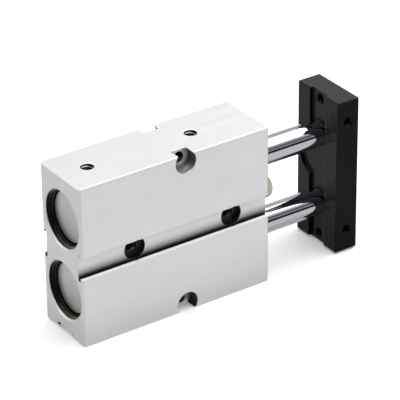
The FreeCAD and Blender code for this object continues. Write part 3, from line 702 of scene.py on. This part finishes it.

# %% [markdown]
# ## End caps
# Behind the ring lies a plain aluminium cap with a brushed face. Its rim is painted dark, as
# the ring's shadow on it, its lower part is painted duller and warmer, as shade, and the side
# towards +Y is painted lighter, as light. All of that is painted, the rim with the same
# distance from the axis as on the ring, and could come from the light instead. The grain runs across
# the face.

# %% End caps
RIM_START, RIM_FULL = 9.05 * MM, 9.35 * MM
LOW_START, LOW_FULL, LIGHT_SIDE = 4.0 * MM, -9.0 * MM, 9.0 * MM
cap_metal, tree, shader = finish("cap_aluminium", Metallic=1.0)
_, y, z = places(tree)
z_seat, radius = from_bore(tree, y, z)
brush = grain(tree, (0.3, 2.5, 2.5))
# Painted shade on the lower part, painted light on the side towards +Y, painted shadow of the ring on
# the rim.
face = blend(tree, ramp(tree, z_seat, LOW_START, LOW_FULL),
             tint(tree, brush, (0.72, 0.72, 0.725), (0.78, 0.78, 0.785)),
             tint(tree, brush, (0.56, 0.545, 0.53), (0.64, 0.625, 0.61)))
face = blend(tree, ramp(tree, y, 0.0, LIGHT_SIDE), face, (0.97, 0.97, 0.975))
face = blend(tree, ramp(tree, radius, RIM_START, RIM_FULL), face, (0.012, 0.011, 0.010))
tree.links.new(face, shader.inputs["Base Color"])
tree.links.new(between(tree, brush, 0.33, 0.43), shader.inputs["Roughness"])
relief(tree, shader, brush, 0.002)
dress(cap_metal, *both("end_cap"))

# %% [markdown]
# ## Pieces from grids
# The threads below are surfaces on a grid: rows along the piece, columns round it. One
# helper turns such a grid into a mesh, joins its seam, merges the points at its ends and
# puts it on the body that it moves with. The faces are made with arrays, which is fast;
# a loop over the points would give the same mesh.

# %% Grid helper
MERGE_DISTANCE = 1e-7
SHARP_ANGLE = math.radians(35)


def piece(name, points, body, material):
    """Closed piece from a grid of points (rows, columns, 3).

    Neighbouring points make quads, and the last column joins the first. Points that fall
    together are merged and the faces are turned outwards.
    """
    rows, columns = points.shape[:2]
    i, j = np.meshgrid(np.arange(rows - 1), np.arange(columns), indexing="ij")
    i2, j2 = i + 1, (j + 1) % columns
    quads = np.stack([i * columns + j, i2 * columns + j, i2 * columns + j2, i * columns + j2],
                     axis=-1).reshape(-1, 4)
    mesh = bpy.data.meshes.new(name)
    mesh.from_pydata(points.reshape(-1, 3).tolist(), [], quads.tolist())
    work = bmesh.new()
    work.from_mesh(mesh)
    bmesh.ops.remove_doubles(work, verts=work.verts, dist=MERGE_DISTANCE)
    bmesh.ops.recalc_face_normals(work, faces=work.faces)
    work.to_mesh(mesh)
    work.free()
    mesh.materials.append(material)
    mesh.shade_smooth()
    mesh.set_sharp_from_angle(angle=SHARP_ANGLE)
    obj = bpy.data.objects.new(name, mesh)
    scene.collection.objects.link(obj)
    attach(obj, body)
    print(name, len(mesh.polygons), "faces")
    return obj


# %% [markdown]
# ## Inner threads
# The CAD has plain holes at the pitch diameter of each thread. What one sees in a tapped
# hole is a row of thin bright crests over dark grooves, so each hole gets one ridge wound
# along its wall. Cutting the groove into the barrel would change the CAD mesh, and a bump
# would not catch the light along an edge. M5 has a pitch of 0.8 mm and M4 of 0.7 mm.

# %% A ridge wound along a wall
STEPS_PER_TURN = 40
END_TURNS = 0.4          # left free at both ends of the thread
WALL_SINK = 0.03 * MM    # how far the ridge's foot lies in the wall
ACROSS = np.array((-0.40, -0.07, 0.07, 0.40))  # the ridge's four points, in pitches
RISE = np.array((0.0, 1.0, 1.0, 0.0))          # 0 at the foot, 1 at the crest


def thread_ridge(start, direction, length, wall_r, crest_r, pitch):
    """Grid of an inner thread: a ridge carried along a helix on a hole's wall.

    Along the helix the place is start + direction * pitch * turns, at the angle
    2 pi * turns. Across it, four points make a ridge that is wide at the wall and narrow
    at the crest, and the crest sinks into the wall over the first and last half turn.
    """
    direction = np.array(direction, float)
    side = np.array((0.0, 0.0, 1.0)) if abs(direction[2]) < 0.5 else np.array((1.0, 0.0, 0.0))
    other = np.cross(direction, side)
    count = length / pitch - 2 * END_TURNS
    turns = np.linspace(0.0, count, int(STEPS_PER_TURN * count))
    fade = np.clip(2.0 * np.minimum(turns, turns[-1] - turns), 0.0, 1.0)[:, None]
    root = wall_r + WALL_SINK
    radius = root + (crest_r - root) * RISE[None, :] * fade
    height = END_TURNS * pitch + pitch * turns[:, None] + (ACROSS * pitch)[None, :]
    angle = 2.0 * np.pi * turns[:, None]
    ring = np.cos(angle)[..., None] * side + np.sin(angle)[..., None] * other
    points = np.array(start, float) + height[..., None] * direction + radius[..., None] * ring
    points[0] = points[0].mean(axis=0)
    points[-1] = points[-1].mean(axis=0)
    return points


crest, tree, shader = finish("thread_aluminium", Metallic=1.0, Roughness=0.28)
noise = grain(tree, (2.0, 2.0, 2.0))
# Painted shade: the ridge darkens where the wall and its own turns stand close.
groove_shade = crevice(tree, 6.0, 0.50, 0.72, local=False)
tree.links.new(blend(tree, groove_shade, (0.01, 0.01, 0.01),
                     tint(tree, noise, (0.80, 0.80, 0.80), (0.90, 0.90, 0.90))),
               shader.inputs["Base Color"])
relief(tree, shader, noise, 0.002)
print("ridge of", len(ACROSS), "points,", STEPS_PER_TURN, "steps a turn")

# %% [markdown]
# ### The eight tapped holes
# Two ports and two web holes are M5 in the barrel, and two side and two face holes are M4
# in the plate. A ridge starts a little inside the hole's mouth and stops before its end,
# so nothing stands out of it. The holes of a pair differ only in place, so each pair is a
# loop; eight single calls would repeat the same sums.

# %% Threads in the ports, the web and the plate
M5 = {"wall_r": 2.3 * MM, "crest_r": 2.06 * MM, "pitch": 0.8 * MM}
M4 = {"wall_r": 1.8 * MM, "crest_r": 1.58 * MM, "pitch": 0.7 * MM}
PORT_LEAD, PORT_END = 0.3 * MM, 10.4 * MM  # below the top; above the bore's axis
WEB_LEAD, WEB_END = 0.1 * MM, 3.7 * MM     # past the mount; short of the far side
PLATE_LEAD, CHANNEL_LEAD = 0.2 * MM, 1.45 * MM  # from a wide side; from the rear face

for name in ("port_rear", "port_front"):
    x = mounts[name]["pos_m"][0]
    points = thread_ridge((x, 0, top_z - PORT_LEAD), (0, 0, -1), top_z - rod_z - PORT_END, **M5)
    piece(name + "_thread", points, "barrel", crest)

for name, side in (("web_rear", -0.5), ("web_front", 0.5)):
    x = web["pos_m"][0] + side * web["dims"]["spacing_x_mm"] * MM
    start = web["pos_m"][1] + WEB_LEAD
    points = thread_ridge((x, start, 0), (0, 1, 0), half_width - WEB_END - start, **M5)
    piece(name + "_thread", points, "barrel", crest)

sides, faces = mounts["plate_side_threads"], mounts["plate_face_threads"]
for name, side in (("upper", 0.5), ("lower", -0.5)):
    z = side * sides["dims"]["spacing_y_mm"] * MM
    x, y = sides["pos_m"][0], sides["pos_m"][1] + PLATE_LEAD
    piece("plate_side_thread_" + name, thread_ridge((x, y, z), (0, 1, 0), -2 * y, **M4),
          "rods", black)
    z = side * faces["dims"]["spacing_y_mm"] * MM
    x = float(plate_low[0]) + CHANNEL_LEAD
    piece("plate_face_thread_" + name,
          thread_ridge((x, 0, z), (1, 0, 0), float(plate_high[0]) - PLATE_LEAD - x, **M4),
          "rods", black)

# %% [markdown]
# ## Stop screw
# The stop screw carries a soft pad in the cup at its head, facing the plate. It is one
# grid round the X axis, whose radius follows a saw of one pitch per turn, so the thread
# runs as one helix and the piece stays closed. A Screw modifier would do it too, but the
# ends would need stitching by hand.

# %% Threaded stop screw
ROUND_COLUMNS, ROWS_PER_PITCH = 64, 14
SAW_FLAT, SAW_SLOPE, RUN_OUT = 0.12, 0.70, 0.4  # shares of a pitch
THREAD_LEAD, THREAD_END, EDGE = 0.2 * MM, 0.02 * MM, 0.15 * MM


def threaded_screw(tail, cup, face, stem, crest, root, pitch, cup_r, stem_r):
    """Grid of a screw along X with a cup at its head.

    Along the thread the radius is root + (crest - root) * saw, where saw rises and falls
    once in every pitch of x / pitch - angle / (2 pi), with small flats, and runs out
    before both ends.
    """
    angle = np.linspace(0.0, 2 * np.pi, ROUND_COLUMNS, endpoint=False)
    x = np.linspace(tail + THREAD_LEAD, cup - THREAD_END,
                    int((cup - tail) / pitch * ROWS_PER_PITCH))
    phase = (x[:, None] / pitch - angle / (2 * np.pi)) % 1.0
    saw = np.clip((1.0 - abs(2.0 * phase - 1.0) - SAW_FLAT) / SAW_SLOPE, 0.0, 1.0)
    out = np.clip(np.minimum(x - x[0], x[-1] - x) / (RUN_OUT * pitch), 0.0, 1.0)[:, None]
    radius = root + (crest - root) * saw * out
    first = [(tail, 0.0), (tail, root - EDGE)]
    last = [(cup, root), (cup, cup_r - EDGE), (cup + EDGE, cup_r), (face - EDGE, cup_r),
            (face, cup_r - EDGE), (face, stem_r), (stem, stem_r), (stem, 0.0)]
    xs = np.concatenate([[v for v, _ in first], x, [v for v, _ in last]])
    rs = np.concatenate([np.tile([[r] for _, r in first], ROUND_COLUMNS), radius,
                         np.tile([[r] for _, r in last], ROUND_COLUMNS)])
    return np.stack([np.repeat(xs[:, None], ROUND_COLUMNS, axis=1), rs * np.cos(angle),
                     rs * np.sin(angle)], axis=-1)


CUP_LENGTH, PAD_GAP = 1.0 * MM, 0.05 * MM
screw_low, screw_high = reach("stop_screw")
pad_low, _ = reach("stop_pad")
shank = threaded_screw(tail=float(screw_low[0]), cup=float(screw_high[0]) - CUP_LENGTH,
                       face=float(screw_high[0]), stem=float(pad_low[0]) - PAD_GAP,
                       crest=1.98 * MM, root=1.66 * MM, pitch=0.7 * MM,
                       cup_r=float(screw_high[1]), stem_r=1.05 * MM)
screw = piece("stop_screw_thread", shank, "stop", zinc)
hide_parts("stop_screw")
